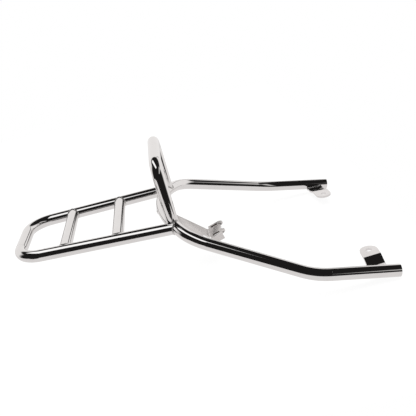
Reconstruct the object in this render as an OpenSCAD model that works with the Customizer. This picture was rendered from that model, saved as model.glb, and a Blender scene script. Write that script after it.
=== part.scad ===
// Motorcycle luggage rack: bent and welded round tube, chrome plated.
// +X points forward, along the arms that reach to the motorcycle, and +Z points up.
// The rack is the same left and right of the plane y = 0, and its luggage deck lies level.
// The origin is midway between the two arm tab holes, halfway through the tabs.

/* [Tube] */
// Outer diameter of every tube
tube_d = 18; // [16:0.5:20]
// Wall thickness of every tube
tube_wall = 1.5; // [1.2:0.1:2.5]

/* [Deck] */
// Height of the deck's tube centres over the arm tab holes
deck_h = 90; // [80:0.5:100]
// Distance from the rear bar's centre forward to the arm tab holes
deck_back = 501.5; // [480:0.5:530]
// Distance between the rails' centre lines, carried to the rear bar
deck_rear_w = 132; // [122:1:144]
// Angle of each rail outwards from straight ahead, in degrees
rail_flare = 4.2; // [2:0.1:6]
// Centre-line radius of the two rear corners
corner_r = 37; // [30:0.5:45]
// Distance from the rear bar to the rear rung
rung_rear_x = 71; // [62:0.5:80]
// Distance from the rear bar to the front rung
rung_front_x = 150; // [135:0.5:165]
// Distance from the rear bar to where the rails meet the arch
rail_reach = 237.1; // [225:0.1:250]

/* [Frame tube] */
// Centre-line radius of the arch's middle
crown_r = 201; // [185:1:230]
// Centre-line radius of the shoulders between the arch and the arms
shoulder_r = 63; // [55:1:75]
// Centre-line radius of the arms' bend
arm_bend_r = 98; // [60:1:120]
// Distance from the tab holes back to the arms' bend
bend_back = 93.5; // [80:0.5:105]
// Distance from the tab holes forward to the arms' cut ends
arm_past = 21.5; // [19:0.5:28]
// Slope of the arms' ends down towards the front, in degrees
end_slope = 11.1; // [7:0.1:15]
// Distance from each tab hole sideways to its arm's centre line
arm_off = 60.5; // [55:0.5:66]
// Drop of the arms' centre lines under the tab holes, abreast of them
arm_drop = 1.9; // [0:0.1:4]

/* [Upright hoop] */
// Distance from each rail's centre line in to the hoop's foot beside it
hoop_foot_in = 10.4; // [8.5:0.1:15]
// How far the hoop bulges out past its feet on each side
hoop_bulge = 5; // [2:0.1:9]
// Lean of the hoop to the rear, in degrees
hoop_lean = 2.6; // [0:0.1:8]

/* [Centre strap] */
// Sheet thickness of the centre strap
strap_t = 2.5; // [2:0.1:4]
// Width of the strap between its two lips
strap_w = 28; // [22:0.5:34]
// Depth of the strap's lips under its face
strap_lip = 8; // [5:0.5:11]
// Slope of the strap down towards the front, in degrees
strap_slope = 40.8; // [36:0.1:45]
// Length of the strap from the arch to its slotted foot
strap_len = 87.5; // [80:0.5:100]
// Rise of the slotted foot towards the front, in degrees
foot_rise = 17; // [10:0.5:24]
// Length of the slotted foot
foot_len = 25; // [23:0.5:30]
// Width of the sheet left outside each slot
foot_edge = 4.75; // [4:0.05:8]
// Depth of the foot's side lips
foot_lip = 11; // [6:0.5:14]
// Distance between the two slots
slot_pitch = 31; // [28:0.5:32]
// Width of each slot
slot_w = 6.5; // [5.5:0.1:8]
// Length of each slot from end to end
slot_len = 12; // [10:0.5:14]

/* [Arm tabs] */
// Sheet thickness of the arm tabs
tab_t = 3; // [2.5:0.1:4]
// Width of each tab
tab_w = 26; // [22:0.5:30]
// Distance between the two tab holes
tab_pitch = 237; // [225:1:245]
// Diameter of the tab holes
tab_hole_d = 8.5; // [6.4:0.1:10.5]
// Distance from the tab hole to the tab's fold
tab_fold_y = 15; // [14:0.5:18]
// Angle of each tab's sloping panel up to its arm, in degrees
tab_rise = 7; // [3:0.5:11]
// Turn of each tab's inner end forward, seen from above, in degrees
tab_skew = 9; // [4:0.5:13]

/* [Welds] */
// Reach of the weld beads out from the tubes they join
weld_leg = 1.8; // [1.2:0.1:2.4]
// Gap left between a coped tube end and the tube it seats on
cope_gap = 0.06; // [0.04:0.01:0.12]

/* [Hidden] */
$fn = 72;

chrome = "gainsboro";
plated_sheet = "silver";
bead_grey = "darkgray";

left = 1;
right = -1;
tube_r = tube_d / 2;
bore_d = tube_d - 2 * tube_wall;
cope_d = tube_d + 2 * cope_gap;

// A bend draws the tube in by this much, and straight stretches lap over its ends
bend_draw = 0.05;
lap = 0.1;
run_past = 1;

// Coped ends stop this far short of the axis of the tube they seat on
ear_trim = 3;

// Deck: the rear bar lies along Y at x = -deck_back
rear_x = -deck_back;
corner_turn = 90 - rail_flare;
corner_tangent = corner_r * tan(corner_turn / 2);
bar_half = deck_rear_w / 2 - corner_tangent;

// Where a rail's centre line meets the arch's: how far out, and how far down the slope from the crown
rail_len = rail_reach / cos(rail_flare) - corner_tangent;
join_y = deck_rear_w / 2 + rail_reach * tan(rail_flare);
join_s = crown_r - sqrt(crown_r * crown_r - join_y * join_y);

// The arms' bend, from the tab holes; the arms and the arch lie in one slope from there to the rails' ends
bend_x = deck_back - bend_back;
bend_y = tab_pitch / 2 + arm_off;
bend_z = bend_back * tan(end_slope) - arm_drop;
arm_slope = atan((deck_h - bend_z) / (bend_x - rail_reach));
bend_s = join_s + (bend_x - rail_reach) / cos(arm_slope);

// The crown stands so much over the deck that the arch passes through the rails' centre lines
crown_at = [rear_x + rail_reach - join_s * cos(arm_slope), 0, deck_h + join_s * sin(arm_slope)];

// The hoop's feet stand on the arch's centre line, beside the rails
hoop_foot_y = join_y - hoop_foot_in;
hoop_r = hoop_foot_y + hoop_bulge;
foot_s = crown_r - sqrt(crown_r * crown_r - hoop_foot_y * hoop_foot_y);
hoop_base = crown_at + foot_s * [cos(arm_slope), 0, -sin(arm_slope)];
hoop_turn = 180 - asin(hoop_foot_y / hoop_r);
hoop_rise = hoop_r * (1 - cos(hoop_turn));
hoop_top = hoop_base + hoop_rise * [-sin(hoop_lean), 0, cos(hoop_lean)];
hoop_foot_arc = 25;
hoop_end = hoop_turn - ear_trim / hoop_r * 180 / PI;

// The arch's middle carries the rails and the hoop, and ends just past the widest of them
crown_spare = 2;
crown_half = max(join_y, hoop_foot_y) + tube_r + crown_spare;
crown_turn = asin(crown_half / crown_r);
crown_run = 2;
crown_end_s = crown_r * (1 - cos(crown_turn)) + crown_run * sin(crown_turn);
crown_end_y = crown_half + crown_run * cos(crown_turn);

// The arm is the line from its bend that touches the shoulder's circle
shoulder_mid_s = crown_end_s + shoulder_r * cos(crown_turn);
shoulder_mid_y = crown_end_y - shoulder_r * sin(crown_turn);
reach_s = bend_s - shoulder_mid_s;
reach_y = bend_y - shoulder_mid_y;
reach_len = sqrt(reach_s * reach_s + reach_y * reach_y);
arm_splay = atan2(reach_y, reach_s) - asin(shoulder_r / reach_len);
shoulder_turn = 90 - arm_splay - crown_turn;
slope_change = end_slope - arm_slope;
bend_turn = acos(cos(arm_splay) * cos(slope_change));
bend_roll = atan2(sin(slope_change), sin(arm_splay) * cos(slope_change));
bend_tangent = arm_bend_r * tan(bend_turn / 2);
arm_len = sqrt(reach_len * reach_len - shoulder_r * shoulder_r) - bend_tangent;
end_len = (bend_back + arm_past) / cos(end_slope) - bend_tangent;

// Strap: its face touches the underside of the crown, and it starts a little behind that line
strap_overrun = 7;
strap_bend_r = 3;
fold_draw = 0.03;
foot_turn = strap_slope + foot_rise;
slot_from_bend = 9.9;
foot_w = slot_pitch + slot_w + 2 * foot_edge;
foot_lobe_r = 8;
foot_notch = 5;
foot_lip_back = 2;
foot_lip_end = foot_len - 6;
lobe_y = foot_w / 2 - foot_lobe_r - 0.5;

// Tabs: the panel runs from the fold up to the inner side of the arm
panel_len = arm_off - tab_fold_y;
panel_thick = tab_t + 2 * weld_leg;
panel_wide = tab_w + 2 * weld_leg;

// One bead reaches a little further than the other where two tubes of one size cross
weld_step = 0.4;
strap_bead_from = 1.5;
strap_bead_w = 5;
strap_bead_h = 2.2;
bead_d = tube_d + 2 * weld_leg;
bead_wide_d = bead_d + 2 * weld_step;
bead_seat_d = cope_d + 0.1;

// The hoop's bead leans outwards over the rail's, which stops short of it
hoop_bead_lean = 6;

// A straight stretch along +Z; what follows it starts at its far end
module straight(length, d) {
    translate([0, 0, -lap]) cylinder(h = length + 2 * lap, d = d);
    translate([0, 0, length]) children();
}

// Part of a ring of tube that passes the origin along +Z and turns towards +X
module arc(radius, from, to, d) {
    translate([radius, 0, 0])
        rotate([90, 0, 180])
            rotate([0, 0, from])
                rotate_extrude(angle = to - from)
                    translate([radius, 0])
                        circle(d = d);
}

// Carries what follows around a bend
module follow(radius, angle) {
    translate([radius, 0, 0]) rotate([0, angle, 0]) translate([-radius, 0, 0]) children();
}

// A bend that starts along +Z and turns towards +X; what follows it starts at its far end
module bend(radius, angle, d) {
    arc(radius, 0, angle, d - bend_draw);
    follow(radius, angle) children();
}

// Sets a tube off sideways, along +Y, in a plane that slopes down forward by the angle given
module sideways(at, slope) {
    translate(at) rotate([0, slope, 0]) rotate([-90, 0, 0]) children();
}

module both_sides() {
    children();
    mirror([0, 1, 0]) children();
}

module on_side(side) {
    if (side == left) children();
    else mirror([0, 1, 0]) children();
}

// The left end of the straight part of the rear bar
module at_corner() {
    sideways([rear_x, bar_half, deck_h], 0) children();
}

// The left rail alone
module rail_bar(d) {
    at_corner() follow(corner_r, corner_turn) straight(rail_len, d);
}

// The carrier loop's full path: the rear bar, and on both sides the corner and the rail
module loop_path(d) {
    sideways([rear_x, -bar_half - lap, deck_h], 0) cylinder(h = 2 * (bar_half + lap), d = d);
    both_sides() at_corner() bend(corner_r, corner_turn, d) straight(rail_len - ear_trim, d);
}

// The arch's middle alone
module crown_arc(d) {
    sideways(crown_at, arm_slope) arc(crown_r, -crown_turn, crown_turn, d);
}

// What follows starts at the left end of the arm, past the arm's bend
module at_arm_end() {
    sideways(crown_at, arm_slope)
        follow(crown_r, crown_turn)
            translate([0, 0, crown_run])
                follow(shoulder_r, shoulder_turn)
                    translate([0, 0, arm_len])
                        rotate([0, 0, bend_roll])
                            follow(arm_bend_r, bend_turn)
                                children();
}

// The frame tube's full path: the arch, and on both sides the shoulder, the arm and its end
module frame_path(d, extra) {
    crown_arc(d - bend_draw);
    both_sides() {
        sideways(crown_at, arm_slope)
            follow(crown_r, crown_turn)
                straight(crown_run, d)
                    bend(shoulder_r, shoulder_turn, d)
                        straight(arm_len, d)
                            rotate([0, 0, bend_roll])
                                bend(arm_bend_r, bend_turn, d);
        at_arm_end() straight(end_len + extra - lap, d);
    }
}

// The upright hoop's path, between two angles measured from its top
module hoop_path(from, to, d) {
    sideways(hoop_top, 90 - hoop_lean) arc(hoop_r, from, to, d);
}

module carrier_loop() {
    color(chrome)
        difference() {
            loop_path(tube_d);
            loop_path(bore_d);
            crown_arc(cope_d);
        }
}

module rung(from_rear) {
    half_w = deck_rear_w / 2 + from_rear * tan(rail_flare) - ear_trim;
    color(chrome)
        difference() {
            sideways([rear_x + from_rear, -half_w, deck_h], 0) cylinder(h = 2 * half_w, d = tube_d);
            sideways([rear_x + from_rear, -half_w - run_past, deck_h], 0)
                cylinder(h = 2 * (half_w + run_past), d = bore_d);
            both_sides() rail_bar(cope_d);
        }
}

module frame_tube() {
    color(chrome)
        difference() {
            frame_path(tube_d, 0);
            frame_path(bore_d, run_past);
        }
}

module upright_hoop() {
    color(chrome)
        difference() {
            hoop_path(-hoop_end, hoop_end, tube_d);
            hoop_path(-hoop_end - 1, hoop_end + 1, bore_d);
            crown_arc(cope_d);
            both_sides() rail_bar(cope_d);
        }
}

// A ring sector, from angle 0 up to the angle given
module ring_sector(r_in, r_out, angle) {
    reach = 2 * r_out;
    intersection() {
        difference() {
            circle(r = r_out);
            circle(r = r_in);
        }
        polygon([
            [0, 0],
            [reach, 0],
            reach * [cos(angle / 2), sin(angle / 2)],
            reach * [cos(angle), sin(angle)]
        ]);
    }
}

// A folded sheet's bend about Y, turning up from +X, with its upper face inside
module fold_up(width, thick, radius, angle) {
    translate([0, width / 2, radius])
        rotate([90, 0, 0])
            linear_extrude(height = width)
                rotate([0, 0, -90])
                    ring_sector(radius + fold_draw, radius + thick - fold_draw, angle);
    translate([0, 0, radius]) rotate([0, -angle, 0]) translate([0, 0, -radius]) children();
}

// Outline of the strap's foot, seen from above, with two rounded lobes at its front
module foot_outline() {
    difference() {
        union() {
            translate([-lap, -foot_w / 2]) square([foot_len - foot_lobe_r + lap, foot_w]);
            for (side = [left, right])
                translate([foot_len - foot_lobe_r, side * (foot_w / 2 - foot_lobe_r)])
                    circle(r = foot_lobe_r);
            translate([0, -lobe_y]) square([foot_len - foot_notch, 2 * lobe_y]);
        }
        for (side = [left, right])
            translate([slot_from_bend, side * slot_pitch / 2]) slot_outline();
    }
}

module slot_outline() {
    half = (slot_len - slot_w) / 2;
    for (end = [-half, half])
        translate([end, 0]) circle(d = slot_w);
    translate([-half, -slot_w / 2]) square([2 * half, slot_w]);
}

// The strap's own frame: +X runs down the strap, and its face lies in z = 0 under the crown
module on_strap() {
    touch = tube_r + cope_gap;
    translate(crown_at) rotate([0, strap_slope, 0]) translate([0, 0, -touch]) children();
}

// The two lips folded down along the sides of the strap or of its foot
module side_lips(from, to, width, depth) {
    for (side = [left, right])
        translate([from, side * (width - strap_t) / 2 - strap_t / 2, -depth])
            cube([to - from, strap_t, depth]);
}

module centre_strap() {
    color(plated_sheet)
        on_strap() {
            translate([-strap_overrun, -strap_w / 2, -strap_t])
                cube([strap_len + strap_overrun + lap, strap_w, strap_t]);
            side_lips(-strap_overrun, strap_len - strap_lip, strap_w, strap_lip);
            translate([strap_len, 0, 0])
                fold_up(strap_w, strap_t, strap_bend_r, foot_turn) {
                    translate([0, 0, -strap_t])
                        linear_extrude(height = strap_t) foot_outline();
                    side_lips(foot_lip_back, foot_lip_end, foot_w, foot_lip);
                }
        }
}

// The left tab's frame: the hole's axis is Z, and -X runs along the tab towards the arm
module on_left_tab() {
    translate([0, tab_pitch / 2, -tab_t / 2]) rotate([0, 0, -90 + tab_skew]) children();
}

// What follows starts at the tab's fold and runs up along the panel, on its upper face
module on_panel() {
    translate([-tab_fold_y, 0, tab_t]) rotate([0, 0, 180]) rotate([0, -tab_rise, 0]) children();
}

// Side view of the tab: a level stretch, and from the fold on the panel that slopes up
module tab_profile() {
    rise = panel_len * sin(tab_rise);
    far = tab_fold_y + panel_len * cos(tab_rise);
    polygon([
        [0, 0],
        [0, tab_t],
        [-tab_fold_y, tab_t],
        [-far, tab_t + rise],
        [-far - tab_t * sin(tab_rise), tab_t + rise - tab_t * cos(tab_rise)],
        [-tab_fold_y - tab_t * tan(tab_rise / 2), 0]
    ]);
}

module tab(side) {
    color(plated_sheet)
        on_side(side)
            difference() {
                on_left_tab() {
                    cylinder(h = tab_t, d = tab_w);
                    translate([0, tab_w / 2, 0]) rotate([90, 0, 0]) linear_extrude(height = tab_w) tab_profile();
                }
                on_left_tab() translate([0, 0, -run_past]) cylinder(h = tab_t + 2 * run_past, d = tab_hole_d);
                at_arm_end() straight(end_len, cope_d);
            }
}

// Bead around the end of a rung, on its rail
module weld_rung(from_rear, side) {
    half_w = deck_rear_w / 2 + from_rear * tan(rail_flare);
    color(bead_grey)
        on_side(side)
            difference() {
                intersection() {
                    sideways([rear_x + from_rear, 0, deck_h], 0) cylinder(h = half_w, d = bead_d);
                    rail_bar(bead_wide_d);
                }
                sideways([rear_x + from_rear, -run_past, deck_h], 0)
                    cylinder(h = half_w + 2 * run_past, d = cope_d);
                rail_bar(bead_seat_d);
            }
}

// Bead around the end of a rail, on the arch
module weld_rail(side) {
    color(bead_grey)
        on_side(side)
            difference() {
                intersection() {
                    rail_bar(bead_d);
                    crown_arc(bead_wide_d);
                }
                rail_bar(cope_d);
                crown_arc(bead_seat_d);
                translate([rear_x + rail_reach - bead_d, 0, deck_h])
                    cube([2 * bead_d, hoop_foot_y + bead_d / 2 + hoop_bead_lean, bead_d]);
            }
}

// Bead around a foot of the hoop, on the arch and on the rail beside it
module weld_hoop(side) {
    color(bead_grey)
        on_side(side)
            difference() {
                intersection() {
                    hoop_path(hoop_turn - hoop_foot_arc, hoop_turn, bead_d);
                    crown_arc(bead_wide_d);
                }
                hoop_path(hoop_turn - hoop_foot_arc - 1, hoop_turn + 1, cope_d);
                crown_arc(bead_seat_d);
                rail_bar(bead_seat_d);
            }
}

// Bead around the end of a tab's panel, on the inner side of the arm
module weld_tab(side) {
    color(bead_grey)
        on_side(side)
            difference() {
                intersection() {
                    on_left_tab()
                        on_panel()
                            translate([0, -panel_wide / 2, -tab_t - weld_leg])
                                cube([panel_len, panel_wide, panel_thick]);
                    at_arm_end() straight(end_len, bead_d);
                }
                on_left_tab()
                    on_panel()
                        translate([0, -tab_w / 2 - cope_gap, -tab_t - cope_gap])
                            cube([panel_len + run_past, tab_w + 2 * cope_gap, tab_t + 2 * cope_gap]);
                at_arm_end() straight(end_len, cope_d);
            }
}

// Bead along the strap's face, up against the tube given as its child
module weld_strap(from) {
    color(bead_grey)
        difference() {
            on_strap()
                translate([from, -strap_w / 2, cope_gap]) cube([strap_bead_w, strap_w, strap_bead_h]);
            children();
        }
}

carrier_loop();
rung(rung_rear_x);  // rung_rear
rung(rung_front_x);  // rung_front
frame_tube();
upright_hoop();
centre_strap();
tab(left);  // tab_left
tab(right);  // tab_right
weld_rung(rung_rear_x, left);  // weld_rung_rear_left
weld_rung(rung_rear_x, right);  // weld_rung_rear_right
weld_rung(rung_front_x, left);  // weld_rung_front_left
weld_rung(rung_front_x, right);  // weld_rung_front_right
weld_rail(left);  // weld_rail_left
weld_rail(right);  // weld_rail_right
weld_hoop(left);  // weld_hoop_left
weld_hoop(right);  // weld_hoop_right
weld_tab(left);  // weld_tab_left
weld_tab(right);  // weld_tab_right
weld_strap(-strap_bead_from - strap_bead_w) sideways(crown_at, arm_slope)  // weld_strap_rear
        cylinder(h = 2 * strap_w, d = cope_d, center = true);
weld_strap(strap_bead_from) crown_arc(cope_d);  // weld_strap_front
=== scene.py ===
import math

import bpy
import bmesh
from mathutils import Matrix, Vector
from mathutils.geometry import delaunay_2d_cdt


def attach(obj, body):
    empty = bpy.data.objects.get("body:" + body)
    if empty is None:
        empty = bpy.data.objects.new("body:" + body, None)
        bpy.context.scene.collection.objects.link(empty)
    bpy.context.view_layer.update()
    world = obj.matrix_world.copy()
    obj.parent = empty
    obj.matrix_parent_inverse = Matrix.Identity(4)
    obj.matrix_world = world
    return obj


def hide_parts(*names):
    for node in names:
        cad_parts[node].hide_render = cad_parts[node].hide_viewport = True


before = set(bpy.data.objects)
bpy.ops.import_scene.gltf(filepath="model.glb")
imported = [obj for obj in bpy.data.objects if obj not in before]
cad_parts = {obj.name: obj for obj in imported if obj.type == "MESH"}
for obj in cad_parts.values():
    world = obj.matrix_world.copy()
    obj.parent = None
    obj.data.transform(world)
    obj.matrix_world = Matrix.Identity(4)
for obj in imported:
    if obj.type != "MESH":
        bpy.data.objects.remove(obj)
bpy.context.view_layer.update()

TUBES = ["carrier_loop", "rung_rear", "rung_front", "frame_tube", "upright_hoop"]
SHEETS = ["centre_strap", "tab_left", "tab_right"]
BEADS = [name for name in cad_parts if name.startswith("weld_")]

# Camera, from the outline fit of the photograph: metres and radians in the row's frame
CAMERA_PLACE = Vector((-0.23357, -0.90382, 0.44800))
CAMERA_YAW = 0.024
CAMERA_PITCH = 0.392
CAMERA_ROLL = -0.221
SENSOR_MM = 36.0
FOCAL_PX = 620.0
IMAGE_PX = 416.0

FLOOR_Z = -0.0165
FLOOR_LEFT = -1.10
FLOOR_RIGHT = 0.10
FLOOR_NEAR = -0.40
FLOOR_FAR = 1.20

# The room as the chrome shows it: bearings run from +Y towards +X, heights from the horizon, in radians
WALL_FROM = -1.35
WALL_TO = 1.75
WALL_TOP = 0.58
SEAM_AT = 0.36
SEAM_HALF = 0.028
BOX_TURN_COS = 0.909
BOX_TURN_SIN = 0.416
WALL_SIDE_EDGE = 0.20
WALL_TOP_EDGE = 0.06
SEAM_EDGE = 0.012
HORIZON = 0.03
HORIZON_EDGE = 0.05
LEAST_RISE = 0.05
BOX_ABOVE = 0.10
BOX_ABOVE_EDGE = 0.04
LONG_BOX_ASIDE = (0.12, 0.50, 0.035)
LONG_BOX_ALONG = (-0.55, 0.85, 0.06)
FAR_BOX_X = (0.95, 1.60, 0.12)
FAR_BOX_Y = (-2.3, -0.25, 0.12)
ROOM_DARK = (0.014, 0.013, 0.013, 1.0)
WALL_PALE = (0.93, 0.91, 0.90, 1.0)
LONG_BOX = (1.25, 1.25, 1.25, 1.0)
FAR_BOX = (0.62, 0.61, 0.60, 1.0)
FLOOR_PALE = (0.82, 0.80, 0.795, 1.0)


def new_material(name):
    material = bpy.data.materials.new(name)
    material.use_nodes = True
    tree = material.node_tree
    return material, tree, tree.nodes["Principled BSDF"]


def add_group_socket(group, name, in_out, kind, value=None):
    socket = group.interface.new_socket(name=name, in_out=in_out, socket_type=kind)
    if value is not None:
        socket.default_value = value
    return socket


def plating_group():
    """Bright chrome's faint unevenness: cloudy reflectance, fine polishing marks and a few dull specks."""
    group = bpy.data.node_groups.new("Chrome plating", "ShaderNodeTree")
    add_group_socket(group, "Plate Colour", "INPUT", "NodeSocketColor", (0.8, 0.8, 0.8, 1.0))
    add_group_socket(group, "Haze Colour", "INPUT", "NodeSocketColor", (0.7, 0.7, 0.7, 1.0))
    add_group_socket(group, "Haze Scale", "INPUT", "NodeSocketFloat", 40.0)
    add_group_socket(group, "Haze Amount", "INPUT", "NodeSocketFloat", 0.5)
    add_group_socket(group, "Smoothness", "INPUT", "NodeSocketFloat", 0.04)
    add_group_socket(group, "Roughest", "INPUT", "NodeSocketFloat", 0.12)
    add_group_socket(group, "Wave Height", "INPUT", "NodeSocketFloat", 0.02)
    add_group_socket(group, "Wave Scale", "INPUT", "NodeSocketFloat", 90.0)
    add_group_socket(group, "Colour", "OUTPUT", "NodeSocketColor")
    add_group_socket(group, "Roughness", "OUTPUT", "NodeSocketFloat")
    add_group_socket(group, "Normal", "OUTPUT", "NodeSocketVector")
    nodes, links = group.nodes, group.links
    given = nodes.new("NodeGroupInput")
    out = nodes.new("NodeGroupOutput")
    place = nodes.new("ShaderNodeTexCoord")

    haze = nodes.new("ShaderNodeTexNoise")
    haze.inputs["Detail"].default_value = 5.0
    links.new(place.outputs["Object"], haze.inputs["Vector"])
    links.new(given.outputs["Haze Scale"], haze.inputs["Scale"])

    spread = nodes.new("ShaderNodeMapRange")
    spread.inputs["From Min"].default_value = 0.35
    spread.inputs["From Max"].default_value = 0.75
    links.new(haze.outputs["Fac"], spread.inputs["Value"])
    links.new(given.outputs["Haze Amount"], spread.inputs["To Max"])

    tint = nodes.new("ShaderNodeMix")
    tint.data_type = "RGBA"
    links.new(spread.outputs["Result"], tint.inputs["Factor"])
    links.new(given.outputs["Plate Colour"], tint.inputs[6])
    links.new(given.outputs["Haze Colour"], tint.inputs[7])
    links.new(tint.outputs[2], out.inputs["Colour"])

    rough = nodes.new("ShaderNodeMapRange")
    links.new(haze.outputs["Fac"], rough.inputs["Value"])
    rough.inputs["From Min"].default_value = 0.35
    rough.inputs["From Max"].default_value = 0.85
    links.new(given.outputs["Smoothness"], rough.inputs["To Min"])
    links.new(given.outputs["Roughest"], rough.inputs["To Max"])
    links.new(rough.outputs["Result"], out.inputs["Roughness"])

    wave = nodes.new("ShaderNodeTexNoise")
    wave.inputs["Detail"].default_value = 2.0
    links.new(place.outputs["Object"], wave.inputs["Vector"])
    links.new(given.outputs["Wave Scale"], wave.inputs["Scale"])
    bump = nodes.new("ShaderNodeBump")
    bump.inputs["Distance"].default_value = 0.001
    links.new(given.outputs["Wave Height"], bump.inputs["Strength"])
    links.new(wave.outputs["Fac"], bump.inputs["Height"])
    links.new(bump.outputs["Normal"], out.inputs["Normal"])
    return group


def plated_material(name, group, sizes):
    material, tree, shader = new_material(name)
    plating = tree.nodes.new("ShaderNodeGroup")
    plating.node_tree = group
    for key, value in sizes.items():
        plating.inputs[key].default_value = value
    shader.inputs["Metallic"].default_value = 1.0
    tree.links.new(plating.outputs["Colour"], shader.inputs["Base Color"])
    tree.links.new(plating.outputs["Roughness"], shader.inputs["Roughness"])
    tree.links.new(plating.outputs["Normal"], shader.inputs["Normal"])
    return material


plating = plating_group()
tube_chrome = plated_material("Bright chromed tube", plating, {
    "Plate Colour": (0.80, 0.79, 0.785, 1.0),
    "Haze Colour": (0.72, 0.70, 0.69, 1.0),
    "Haze Scale": 30.0,
    "Haze Amount": 0.35,
    "Smoothness": 0.03,
    "Roughest": 0.09,
    "Wave Height": 0.02,
    "Wave Scale": 60.0,
})
sheet_chrome = plated_material("Chromed pressed sheet", plating, {
    "Plate Colour": (0.72, 0.70, 0.69, 1.0),
    "Haze Colour": (0.55, 0.52, 0.51, 1.0),
    "Haze Scale": 55.0,
    "Haze Amount": 0.6,
    "Smoothness": 0.14,
    "Roughest": 0.24,
    "Wave Height": 0.02,
    "Wave Scale": 70.0,
})
tab_chrome = plated_material("Chromed arm tab", plating, {
    "Plate Colour": (0.80, 0.785, 0.78, 1.0),
    "Haze Colour": (0.70, 0.68, 0.67, 1.0),
    "Haze Scale": 45.0,
    "Haze Amount": 0.4,
    "Smoothness": 0.05,
    "Roughest": 0.12,
    "Wave Height": 0.02,
    "Wave Scale": 60.0,
})
bead_chrome = plated_material("Chromed weld bead", plating, {
    "Plate Colour": (0.70, 0.69, 0.68, 1.0),
    "Haze Colour": (0.52, 0.50, 0.49, 1.0),
    "Haze Scale": 200.0,
    "Haze Amount": 0.6,
    "Smoothness": 0.10,
    "Roughest": 0.24,
    "Wave Height": 0.05,
    "Wave Scale": 300.0,
})


# Near-black, rough material for the foot's slot walls: painted shade, so the slots read dark as if in
# shadow
slot_wall_shade = plated_material("Slot wall painted shade", plating, {
    "Plate Colour": (0.085, 0.065, 0.058, 1.0),
    "Haze Colour": (0.05, 0.04, 0.036, 1.0),
    "Haze Scale": 160.0,
    "Haze Amount": 0.6,
    "Smoothness": 0.30,
    "Roughest": 0.45,
    "Wave Height": 0.03,
    "Wave Scale": 200.0,
})


def dress(names, material):
    for name in names:
        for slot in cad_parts[name].material_slots:
            slot.material = material


dress(TUBES, tube_chrome)
dress(SHEETS, sheet_chrome)
dress(BEADS, bead_chrome)


SIDES = (("left", 1.0), ("right", -1.0))

# Sizes of the rack that the drawn pieces follow, in metres
TUBE_R = 0.009
TUBE_SIDES = 48
SEAM_R = 0.0092
SEAM_STEPS = 64
RIPPLE_PITCH = 0.0010
RIPPLE_R = 0.00125
RIPPLE_UNEVENNESS = 0.08
DECK_Z = 0.090
REAR_X = -0.5015
RAIL_HALF = 0.066
RAIL_FLARE = math.radians(4.2)
RUNG_REAR_X = -0.4305
RUNG_FRONT_X = -0.3515
RAIL_END_X = -0.2644
CROWN = Vector((-0.281048, 0.0, 0.097165))
CROWN_R = 0.201
ARM_SLOPE = math.radians(23.287)
HOOP_FOOT_Y = 0.0730
HOOP_LEAN = math.radians(2.6)
HOOP_RISE = 0.0923
HOOP_LEG_TILT = math.radians(1.0)
HOOP_CORNER_R = 0.020
HOOP_CORNER_STEPS = 28
HOLE_Y = 0.1185
HOLE_R = 0.00425
TAB_W = 0.026
TAB_T = 0.003
TAB_EDGE = 0.0005
TAB_SKEW = math.radians(4.0)
TAB_FOLD_SKEW = math.radians(11.0)
ARM_Y = 0.179
ARM_Z = -0.0019


def new_piece(name, mesh):
    piece = bpy.data.objects.new(name, mesh)
    bpy.context.collection.objects.link(piece)
    return piece


def finished(piece):
    """The piece as a plain mesh, its modifiers worked in."""
    bpy.context.view_layer.update()
    seen = piece.evaluated_get(bpy.context.evaluated_depsgraph_get())
    mesh = bpy.data.meshes.new_from_object(seen)
    piece.modifiers.clear()
    piece.data = mesh
    return piece


def stand_for(piece, node):
    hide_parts(node)
    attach(piece, "root")


def geometry_tree(name, inputs):
    tree = bpy.data.node_groups.new(name, "GeometryNodeTree")
    add_group_socket(tree, "Geometry", "INPUT", "NodeSocketGeometry")
    for label, kind, value in inputs:
        add_group_socket(tree, label, "INPUT", kind, value)
    add_group_socket(tree, "Geometry", "OUTPUT", "NodeSocketGeometry")
    return tree


def work_through(piece, tree, values):
    """Runs a geometry tree over the piece with the values given for its named inputs."""
    modifier = piece.modifiers.new(tree.name, "NODES")
    modifier.node_group = tree
    for socket in tree.interface.items_tree:
        if socket.in_out == "INPUT" and socket.name in values:
            modifier[socket.identifier] = values[socket.name]
    return finished(piece)


def tube_tree():
    """A round tube along a path."""
    tree = geometry_tree("Tube along a path", [
        ("Radius", "NodeSocketFloat", TUBE_R),
        ("Sides", "NodeSocketInt", TUBE_SIDES),
        ("Material", "NodeSocketMaterial", None),
    ])
    nodes, links = tree.nodes, tree.links
    given = nodes.new("NodeGroupInput")
    path = nodes.new("GeometryNodeMeshToCurve")
    ring = nodes.new("GeometryNodeCurvePrimitiveCircle")
    skin = nodes.new("GeometryNodeCurveToMesh")
    smooth = nodes.new("GeometryNodeSetShadeSmooth")
    real = nodes.new("GeometryNodeRealizeInstances")
    paint = nodes.new("GeometryNodeSetMaterial")
    out = nodes.new("NodeGroupOutput")
    skin.inputs["Fill Caps"].default_value = True
    links.new(given.outputs["Geometry"], path.inputs["Mesh"])
    links.new(given.outputs["Sides"], ring.inputs["Resolution"])
    links.new(given.outputs["Radius"], ring.inputs["Radius"])
    links.new(path.outputs["Curve"], skin.inputs["Curve"])
    links.new(ring.outputs["Curve"], skin.inputs["Profile Curve"])
    links.new(skin.outputs["Mesh"], smooth.inputs["Geometry"])
    links.new(smooth.outputs["Geometry"], real.inputs["Geometry"])
    links.new(real.outputs["Geometry"], paint.inputs["Geometry"])
    links.new(given.outputs["Material"], paint.inputs["Material"])
    links.new(paint.outputs["Geometry"], out.inputs["Geometry"])
    return tree


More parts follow.
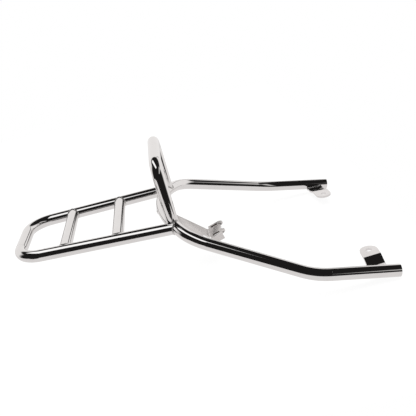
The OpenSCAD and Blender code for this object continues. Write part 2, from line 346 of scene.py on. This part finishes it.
def ripple_tree():
    """Overlapping weld ripples along a closed seam, each a drop a little unlike the next."""
    tree = geometry_tree("Weld ripples along a seam", [
        ("Pitch", "NodeSocketFloat", RIPPLE_PITCH),
        ("Ripple Radius", "NodeSocketFloat", RIPPLE_R),
        ("Unevenness", "NodeSocketFloat", RIPPLE_UNEVENNESS),
        ("Seed", "NodeSocketInt", 1),
        ("Material", "NodeSocketMaterial", None),
    ])
    nodes, links = tree.nodes, tree.links
    given = nodes.new("NodeGroupInput")
    path = nodes.new("GeometryNodeMeshToCurve")
    steps = nodes.new("GeometryNodeResampleCurve")
    steps.mode = "LENGTH"
    drop = nodes.new("GeometryNodeMeshIcoSphere")
    drop.inputs["Subdivisions"].default_value = 3
    low = nodes.new("ShaderNodeMath")
    low.operation = "SUBTRACT"
    low.inputs[0].default_value = 1.0
    high = nodes.new("ShaderNodeMath")
    high.operation = "ADD"
    high.inputs[0].default_value = 1.0
    size = nodes.new("FunctionNodeRandomValue")
    place = nodes.new("GeometryNodeInstanceOnPoints")
    real = nodes.new("GeometryNodeRealizeInstances")
    smooth = nodes.new("GeometryNodeSetShadeSmooth")
    paint = nodes.new("GeometryNodeSetMaterial")
    out = nodes.new("NodeGroupOutput")
    links.new(given.outputs["Geometry"], path.inputs["Mesh"])
    links.new(path.outputs["Curve"], steps.inputs["Curve"])
    links.new(given.outputs["Pitch"], steps.inputs["Length"])
    links.new(given.outputs["Ripple Radius"], drop.inputs["Radius"])
    links.new(given.outputs["Unevenness"], low.inputs[1])
    links.new(given.outputs["Unevenness"], high.inputs[1])
    links.new(low.outputs["Value"], size.inputs[2])
    links.new(high.outputs["Value"], size.inputs[3])
    links.new(given.outputs["Seed"], size.inputs["Seed"])
    links.new(steps.outputs["Curve"], place.inputs["Points"])
    links.new(drop.outputs["Mesh"], place.inputs["Instance"])
    links.new(size.outputs[1], place.inputs["Scale"])
    links.new(place.outputs["Instances"], real.inputs["Geometry"])
    links.new(real.outputs["Geometry"], smooth.inputs["Geometry"])
    links.new(smooth.outputs["Geometry"], paint.inputs["Geometry"])
    links.new(given.outputs["Material"], paint.inputs["Material"])
    links.new(paint.outputs["Geometry"], out.inputs["Geometry"])
    return tree


def path_piece(name, points, closed):
    mesh = bpy.data.meshes.new(name)
    edges = [(i, i + 1) for i in range(len(points) - 1)]
    if closed:
        edges.append((len(points) - 1, 0))
    mesh.from_pydata([tuple(point) for point in points], edges, [])
    return new_piece(name, mesh)


def hoop_path():
    """Two straight legs that draw in as they rise, rounded corners and a short level top."""
    up = Vector((-math.sin(HOOP_LEAN), 0.0, math.cos(HOOP_LEAN)))
    foot_s = CROWN_R - math.sqrt(CROWN_R ** 2 - HOOP_FOOT_Y ** 2)
    base = CROWN + foot_s * Vector((math.cos(ARM_SLOPE), 0.0, -math.sin(ARM_SLOPE)))
    draw_in, rise = math.sin(HOOP_LEG_TILT), math.cos(HOOP_LEG_TILT)
    corner_high = HOOP_RISE - HOOP_CORNER_R
    corner_wide = HOOP_FOOT_Y - (corner_high * draw_in + HOOP_CORNER_R) / rise
    half = [(HOOP_FOOT_Y, 0.0)]
    for i in range(HOOP_CORNER_STEPS + 1):
        angle = HOOP_LEG_TILT + (math.pi / 2.0 - HOOP_LEG_TILT) * i / HOOP_CORNER_STEPS
        wide = corner_wide + HOOP_CORNER_R * math.cos(angle)
        high = corner_high + HOOP_CORNER_R * math.sin(angle)
        half.append((wide, high))
    points = half + [(-wide, high) for wide, high in reversed(half)]
    return [base + high * up + Vector((0.0, wide, 0.0)) for wide, high in points]


tube_along = tube_tree()
hoop = path_piece("grab_hoop", hoop_path(), False)
work_through(hoop, tube_along, {"Radius": TUBE_R, "Sides": TUBE_SIDES, "Material": tube_chrome})
stand_for(hoop, "upright_hoop")


def seam(branch_at, branch_along, main_at, main_along):
    """Closed line where a tube's end meets another tube; branch_along points away from that tube."""
    main_along = main_along.normalized()
    branch_along = branch_along.normalized()
    side = branch_along.cross(main_along).normalized()
    other = side.cross(branch_along)
    points = []
    for i in range(SEAM_STEPS):
        turn = 2.0 * math.pi * i / SEAM_STEPS
        start = branch_at + TUBE_R * (math.cos(turn) * side + math.sin(turn) * other)
        offset = start - main_at
        flat = offset - offset.dot(main_along) * main_along
        way = branch_along - branch_along.dot(main_along) * main_along
        half = flat.dot(way)
        inside = half * half - way.length_squared * (flat.length_squared - SEAM_R ** 2)
        reach = (math.sqrt(max(inside, 0.0)) - half) / way.length_squared
        points.append(start + reach * branch_along)
    return points


ripples = ripple_tree()


def weld(node, points, number):
    bead = path_piece("ripples_" + node, points, True)
    work_through(bead, ripples, {
        "Pitch": RIPPLE_PITCH, "Ripple Radius": RIPPLE_R, "Seed": number, "Material": bead_chrome})
    stand_for(bead, node)


def crown_point(across):
    """A point of the crown's centre line, and the line's direction there."""
    drop = CROWN_R - math.sqrt(CROWN_R ** 2 - across ** 2)
    at = CROWN + Vector((drop * math.cos(ARM_SLOPE), across, -drop * math.sin(ARM_SLOPE)))
    turn = math.asin(across / CROWN_R)
    forward = math.sin(turn)
    along = Vector((forward * math.cos(ARM_SLOPE), math.cos(turn), -forward * math.sin(ARM_SLOPE)))
    return at, along


def rail_y(x, side):
    return side * (RAIL_HALF + (x - REAR_X) * math.tan(RAIL_FLARE))


def rung_weld(label, side, rung, rung_x, number):
    at = Vector((rung_x, rail_y(rung_x, side), DECK_Z))
    rail_along = Vector((math.cos(RAIL_FLARE), side * math.sin(RAIL_FLARE), 0.0))
    weld("weld_rung_%s_%s" % (rung, label), seam(at, Vector((0.0, -side, 0.0)), at, rail_along), number)


def rail_weld(label, side, number):
    at, along = crown_point(rail_y(RAIL_END_X, side))
    rail_along = Vector((math.cos(RAIL_FLARE), side * math.sin(RAIL_FLARE), 0.0))
    weld("weld_rail_" + label, seam(at, -rail_along, at, along), number)


def hoop_weld(label, side, number):
    at, along = crown_point(side * HOOP_FOOT_Y)
    rise = math.cos(HOOP_LEG_TILT)
    leg = Vector((-math.sin(HOOP_LEAN) * rise, -side * math.sin(HOOP_LEG_TILT), math.cos(HOOP_LEAN) * rise))
    weld("weld_hoop_" + label, seam(at, leg, at, along), number)


for number, (label, side) in enumerate(SIDES):
    rung_weld(label, side, "rear", RUNG_REAR_X, 10 + 2 * number)
    rung_weld(label, side, "front", RUNG_FRONT_X, 11 + 2 * number)
    rail_weld(label, side, 20 + number)
    hoop_weld(label, side, 30 + number)


# Side view of a tab: how far from the hole towards the arm, and the height of the sheet's middle
TAB_BENDS = ((0.0185, 0.0), (0.0360, -0.0050))
TAB_END = 0.0545
BEND_HALF = 0.0022
BEND_STEPS = 6
NOSE_STEPS = 28
HOLE_STEPS = 40


def tab_height(along):
    """A level plate, a panel that drops to the arm, and a level foot, with rounded folds."""
    (high_at, high_z), (low_at, low_z) = TAB_BENDS
    fall = (low_z - high_z) / (low_at - high_at)

    def eased(distance):
        if distance <= -BEND_HALF:
            return 0.0
        if distance >= BEND_HALF:
            return distance
        return (distance + BEND_HALF) ** 2 / (4.0 * BEND_HALF)

    return high_z + fall * (eased(along - high_at) - eased(along - low_at))


def round_points(radius, turns):
    return [(radius * math.cos(turn), radius * math.sin(turn)) for turn in turns]


def tab_mesh(side):
    """The tab's middle sheet: its outline and hole laid flat, then lifted to the side view's height."""
    half = TAB_W / 2.0
    nose = round_points(half, [math.pi / 2.0 + math.pi * i / NOSE_STEPS for i in range(NOSE_STEPS + 1)])
    rim = round_points(HOLE_R, [2.0 * math.pi * i / HOLE_STEPS for i in range(HOLE_STEPS)])
    cuts = []
    for bend_at, _ in TAB_BENDS:
        cuts += [bend_at + BEND_HALF * (2.0 * i / BEND_STEPS - 1.0) for i in range(BEND_STEPS + 1)]
    cuts.append(TAB_END)
    flat = [Vector(p) for p in nose + [(c, -half) for c in cuts] + [(c, half) for c in reversed(cuts)]]
    outline = len(flat)
    for i in range(len(nose), outline):
        flat[i].x -= flat[i].y * math.tan(TAB_FOLD_SKEW)
    edges = [(i, (i + 1) % outline) for i in range(outline)]
    edges += [(len(nose) + i, outline - 1 - i) for i in range(len(cuts))]
    edges += [(outline + i, outline + (i + 1) % len(rim)) for i in range(len(rim))]
    flat += [Vector(p) for p in rim]
    verts, _, faces, _, _, _ = delaunay_2d_cdt(flat, edges, [], 1, 1e-6)
    keep = []
    for face in faces:
        mid = sum((verts[i] for i in face), Vector((0.0, 0.0))) / len(face)
        if mid.length > HOLE_R * 0.98:
            keep.append(face)
    cos, sin = math.cos(TAB_SKEW), math.sin(TAB_SKEW)
    points = []
    for vert in verts:
        along, across = vert
        x = across * cos - along * sin
        y = HOLE_Y + along * cos + across * sin
        points.append((x, side * y, tab_height(along + across * math.tan(TAB_FOLD_SKEW))))
    mesh = bpy.data.meshes.new("tab")
    mesh.from_pydata(points, [], keep)
    return mesh


def tab_piece(label, side):
    mesh = tab_mesh(side)
    shape = bmesh.new()
    shape.from_mesh(mesh)
    bmesh.ops.recalc_face_normals(shape, faces=shape.faces)
    if sum(face.normal.z for face in shape.faces) < 0.0:
        bmesh.ops.reverse_faces(shape, faces=shape.faces)
    shape.to_mesh(mesh)
    shape.free()
    piece = new_piece("arm_tab_" + label, mesh)
    wall = piece.modifiers.new("thickness", "SOLIDIFY")
    wall.thickness = TAB_T
    wall.offset = 0.0
    edge = piece.modifiers.new("soft edges", "BEVEL")
    edge.width = TAB_EDGE
    edge.segments = 2
    edge.limit_method = "ANGLE"
    edge.angle_limit = math.radians(50.0)
    finished(piece)
    piece.data.materials.clear()
    piece.data.materials.append(tab_chrome)
    piece.data.shade_smooth()
    piece.data.set_sharp_from_angle(angle=math.radians(40.0))
    even = piece.modifiers.new("flat faces stay flat", "WEIGHTED_NORMAL")
    even.keep_sharp = True
    finished(piece)
    stand_for(piece, "tab_" + label)


# The strap runs down from under the crown, and its foot carries two slots
STRAP_SLOPE = math.radians(40.8)
STRAP_W = 0.028
STRAP_REAR = -0.0030
LIP_START = 0.0130
LIP_UNDER = 0.0145
STRAP_BEAD_REAR = -0.0036
STRAP_BEAD_FRONT = 0.0048
STRAP_BEAD_SINK = 0.0008
STRAP_BEAD_HALF = 0.0003
STRAP_BEAD_STEPS = 8
UPRIGHT_MOST = 0.3
FOOT_MIDDLE = Vector((-0.208, 0.0, 0.0337))
FOOT_UP = Vector((-0.2924, 0.0, 0.9563))
FOOT_ON = Vector((0.9563, 0.0, 0.2924))
SLOT_PITCH = 0.031
SLOT_W = 0.0065
SLOT_LEN = 0.012
SLOT_SPARE = 0.0004


def in_slot_wall(face):
    middle = face.calc_center_median()
    across = min(abs(middle.y - side * SLOT_PITCH / 2.0) for side in (1.0, -1.0))
    along = (middle - FOOT_MIDDLE).dot(FOOT_ON)
    upright = abs(face.normal.dot(FOOT_UP)) < UPRIGHT_MOST
    within = across < SLOT_W / 2.0 + SLOT_SPARE and abs(along) < SLOT_LEN / 2.0 + SLOT_SPARE
    return upright and within


def strap_piece():
    """The pressed strap: rear end tucked under the crown with slanted lips, slot walls given a near-black
    material as painted shade.
    """
    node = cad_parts["centre_strap"]
    down = Vector((math.cos(STRAP_SLOPE), 0.0, -math.sin(STRAP_SLOPE)))
    under = Vector((-math.sin(STRAP_SLOPE), 0.0, -math.cos(STRAP_SLOPE)))
    shape = bmesh.new()
    shape.from_mesh(node.data)
    shape.transform(node.matrix_world)
    for vert in shape.verts:
        along = (vert.co - CROWN).dot(down)
        if along < STRAP_REAR:
            start = LIP_START if (vert.co - CROWN).dot(under) > LIP_UNDER else STRAP_REAR
            vert.co += (start - along) * down
    bmesh.ops.remove_doubles(shape, verts=shape.verts, dist=1e-6)
    bmesh.ops.recalc_face_normals(shape, faces=shape.faces)
    for face in shape.faces:
        # Slot walls take the near-black painted-shade material, the rest the sheet chrome
        face.material_index = 1 if in_slot_wall(face) else 0
    mesh = bpy.data.meshes.new("pressed_strap")
    shape.to_mesh(mesh)
    shape.free()
    piece = new_piece("pressed_strap", mesh)
    mesh.materials.append(sheet_chrome)
    mesh.materials.append(slot_wall_shade)
    stand_for(piece, "centre_strap")


def strap_seam(along):
    """A long thin ring of ripples across the strap, beside the crown."""
    down = Vector((math.cos(STRAP_SLOPE), 0.0, -math.sin(STRAP_SLOPE)))
    up = Vector((math.sin(STRAP_SLOPE), 0.0, math.cos(STRAP_SLOPE)))
    at = CROWN + along * down - (TUBE_R - STRAP_BEAD_SINK) * up
    points = []
    for way in (1.0, -1.0):
        for step in range(STRAP_BEAD_STEPS):
            across = way * STRAP_W / 2.0 * (1.0 - 2.0 * step / STRAP_BEAD_STEPS)
            points.append(at + Vector((0.0, across, 0.0)) + STRAP_BEAD_HALF * way * down)
    return points


strap_piece()
weld("weld_strap_rear", strap_seam(STRAP_BEAD_REAR), 50)
weld("weld_strap_front", strap_seam(STRAP_BEAD_FRONT), 51)


def tab_seam(side):
    """Runs over the sheet, round its edges and back under it, along the arm's inner side."""
    foot_z = TAB_BENDS[1][1]
    points = []
    for face in (1.0, -1.0):
        z = foot_z + face * TAB_T / 2.0
        y = ARM_Y - math.sqrt(TUBE_R ** 2 - (z - ARM_Z) ** 2)
        for i in range(9):
            across = face * TAB_W * (0.5 - i / 8.0)
            x = across * math.cos(TAB_SKEW) - (y - HOLE_Y) * math.tan(TAB_SKEW)
            points.append(Vector((x, side * y, z)))
    return points


for label, side in SIDES:
    tab_piece(label, side)
    weld("weld_tab_" + label, tab_seam(side), 40)


def math_node(tree, operation, first, second=None):
    node = tree.nodes.new("ShaderNodeMath")
    node.operation = operation
    for socket, value in zip(node.inputs, (first, second)):
        if value is None:
            continue
        if isinstance(value, (int, float)):
            socket.default_value = value
        else:
            tree.links.new(value, socket)
    return node.outputs["Value"]


def soft_step(tree, value, at, edge):
    """0 well under at, 1 well over it, with a smooth edge."""
    node = tree.nodes.new("ShaderNodeMapRange")
    node.interpolation_type = "SMOOTHSTEP"
    node.inputs["From Min"].default_value = at - edge
    node.inputs["From Max"].default_value = at + edge
    tree.links.new(value, node.inputs["Value"])
    return node.outputs["Result"]


def between(tree, value, low, high, edge):
    over = soft_step(tree, value, low, edge)
    under = math_node(tree, "SUBTRACT", 1.0, soft_step(tree, value, high, edge))
    return math_node(tree, "MULTIPLY", over, under)


def mixed_colour(tree, mask, under, over):
    node = tree.nodes.new("ShaderNodeMix")
    node.data_type = "RGBA"
    tree.links.new(mask, node.inputs["Factor"])
    for socket, value in zip((node.inputs[6], node.inputs[7]), (under, over)):
        if isinstance(value, tuple):
            socket.default_value = value
        else:
            tree.links.new(value, socket)
    return node.outputs[2]


def studio_world():
    """The photographer's room: dark but for a pale wall behind, one long soft box and a fainter one."""
    world = bpy.data.worlds.new("Studio")
    bpy.context.scene.world = world
    world.use_nodes = True
    tree = world.node_tree
    tree.nodes.clear()
    place = tree.nodes.new("ShaderNodeTexCoord")
    split = tree.nodes.new("ShaderNodeSeparateXYZ")
    tree.links.new(place.outputs["Generated"], split.inputs["Vector"])
    x, y, z = split.outputs
    height = math_node(tree, "ARCSINE", z)
    bearing = math_node(tree, "ARCTAN2", x, y)
    over = math_node(tree, "MAXIMUM", z, LEAST_RISE)
    u = math_node(tree, "DIVIDE", x, over)
    v = math_node(tree, "DIVIDE", y, over)

    wall = math_node(tree, "MULTIPLY",
                     between(tree, bearing, WALL_FROM, WALL_TO, WALL_SIDE_EDGE),
                     soft_step(tree, math_node(tree, "MULTIPLY", height, -1.0), -WALL_TOP, WALL_TOP_EDGE))
    seam = math_node(tree, "MULTIPLY",
                     between(tree, bearing, SEAM_AT - SEAM_HALF, SEAM_AT + SEAM_HALF, SEAM_EDGE),
                     soft_step(tree, height, 0.0, HORIZON))
    along = math_node(tree, "ADD", math_node(tree, "MULTIPLY", u, -BOX_TURN_SIN),
                      math_node(tree, "MULTIPLY", v, BOX_TURN_COS))
    aside = math_node(tree, "ADD", math_node(tree, "MULTIPLY", u, -BOX_TURN_COS),
                      math_node(tree, "MULTIPLY", v, -BOX_TURN_SIN))
    above = soft_step(tree, z, BOX_ABOVE, BOX_ABOVE_EDGE)
    long_box = math_node(tree, "MULTIPLY",
                         between(tree, aside, *LONG_BOX_ASIDE),
                         between(tree, along, *LONG_BOX_ALONG))
    far_box = math_node(tree, "MULTIPLY",
                        between(tree, u, *FAR_BOX_X),
                        between(tree, v, *FAR_BOX_Y))
    floor = math_node(tree, "SUBTRACT", 1.0, soft_step(tree, height, HORIZON, HORIZON_EDGE))

    colour = mixed_colour(tree, wall, ROOM_DARK, WALL_PALE)
    colour = mixed_colour(tree, seam, colour, ROOM_DARK)
    colour = mixed_colour(tree, math_node(tree, "MULTIPLY", long_box, above), colour, LONG_BOX)
    colour = mixed_colour(tree, math_node(tree, "MULTIPLY", far_box, above), colour, FAR_BOX)
    under_wall = between(tree, bearing, WALL_FROM, WALL_TO, WALL_SIDE_EDGE)
    below = mixed_colour(tree, under_wall, ROOM_DARK, WALL_PALE)
    colour = mixed_colour(tree, floor, colour, below)

    room = tree.nodes.new("ShaderNodeBackground")
    tree.links.new(colour, room.inputs["Color"])
    backdrop = tree.nodes.new("ShaderNodeBackground")
    backdrop.inputs["Color"].default_value = (1.0, 1.0, 1.0, 1.0)
    path = tree.nodes.new("ShaderNodeLightPath")
    choose = tree.nodes.new("ShaderNodeMixShader")
    tree.links.new(path.outputs["Is Camera Ray"], choose.inputs["Fac"])
    tree.links.new(room.outputs["Background"], choose.inputs[1])
    tree.links.new(backdrop.outputs["Background"], choose.inputs[2])
    out = tree.nodes.new("ShaderNodeOutputWorld")
    tree.links.new(choose.outputs["Shader"], out.inputs["Surface"])


def studio_floor():
    """A pale table top: white to the camera but for the rack's soft shadow, light grey to the chrome."""
    mesh = bpy.data.meshes.new("table_top")
    mesh.from_pydata([
        (FLOOR_LEFT, FLOOR_NEAR, FLOOR_Z), (FLOOR_RIGHT, FLOOR_NEAR, FLOOR_Z),
        (FLOOR_RIGHT, FLOOR_FAR, FLOOR_Z), (FLOOR_LEFT, FLOOR_FAR, FLOOR_Z)], [], [(0, 1, 2, 3)])
    table = new_piece("table_top", mesh)
    material, tree, shader = new_material("Pale table top")
    nodes, links = tree.nodes, tree.links
    cloud = nodes.new("ShaderNodeTexNoise")
    cloud.inputs["Scale"].default_value = 3.0
    place = nodes.new("ShaderNodeTexCoord")
    links.new(place.outputs["Object"], cloud.inputs["Vector"])
    tone = nodes.new("ShaderNodeMapRange")
    tone.inputs["To Min"].default_value = 0.10
    tone.inputs["To Max"].default_value = 0.13
    links.new(cloud.outputs["Fac"], tone.inputs["Value"])
    paper = nodes.new("ShaderNodeCombineColor")
    for channel in ("Red", "Green", "Blue"):
        links.new(tone.outputs["Result"], paper.inputs[channel])
    links.new(paper.outputs["Color"], shader.inputs["Base Color"])
    shader.inputs["Roughness"].default_value = 0.9
    shader.inputs["Specular IOR Level"].default_value = 0.0
    shader.inputs["Emission Color"].default_value = (1.0, 1.0, 1.0, 1.0)
    shader.inputs["Emission Strength"].default_value = 0.91
    seen = nodes.new("ShaderNodeEmission")
    seen.inputs["Color"].default_value = FLOOR_PALE
    path = nodes.new("ShaderNodeLightPath")
    choose = nodes.new("ShaderNodeMixShader")
    links.new(path.outputs["Is Camera Ray"], choose.inputs["Fac"])
    links.new(seen.outputs["Emission"], choose.inputs[1])
    links.new(shader.outputs["BSDF"], choose.inputs[2])
    links.new(choose.outputs["Shader"], nodes["Material Output"].inputs["Surface"])
    mesh.materials.append(material)


def soft_lamp():
    light = bpy.data.lights.new("overhead cloth", "SUN")
    light.energy = math.pi
    light.angle = math.radians(70.0)
    lamp = bpy.data.objects.new("overhead cloth", light)
    lamp.visible_glossy = False
    bpy.context.collection.objects.link(lamp)


def set_camera():
    forward = Vector((
        math.sin(CAMERA_YAW) * math.cos(CAMERA_PITCH),
        math.cos(CAMERA_YAW) * math.cos(CAMERA_PITCH),
        -math.sin(CAMERA_PITCH)))
    right = Vector((math.cos(CAMERA_YAW), -math.sin(CAMERA_YAW), 0.0))
    up = right.cross(forward)
    across = math.cos(CAMERA_ROLL) * right + math.sin(CAMERA_ROLL) * up
    upright = -math.sin(CAMERA_ROLL) * right + math.cos(CAMERA_ROLL) * up
    turn = Matrix((across, upright, -forward)).transposed()
    data = bpy.data.cameras.new("Camera")
    data.sensor_width = SENSOR_MM
    data.lens = FOCAL_PX / IMAGE_PX * SENSOR_MM
    camera = bpy.data.objects.new("Camera", data)
    camera.matrix_world = Matrix.Translation(CAMERA_PLACE) @ turn.to_4x4()
    bpy.context.collection.objects.link(camera)
    bpy.context.scene.camera = camera


studio_world()
studio_floor()
soft_lamp()
set_camera()
bpy.context.scene.view_settings.view_transform = "Standard"
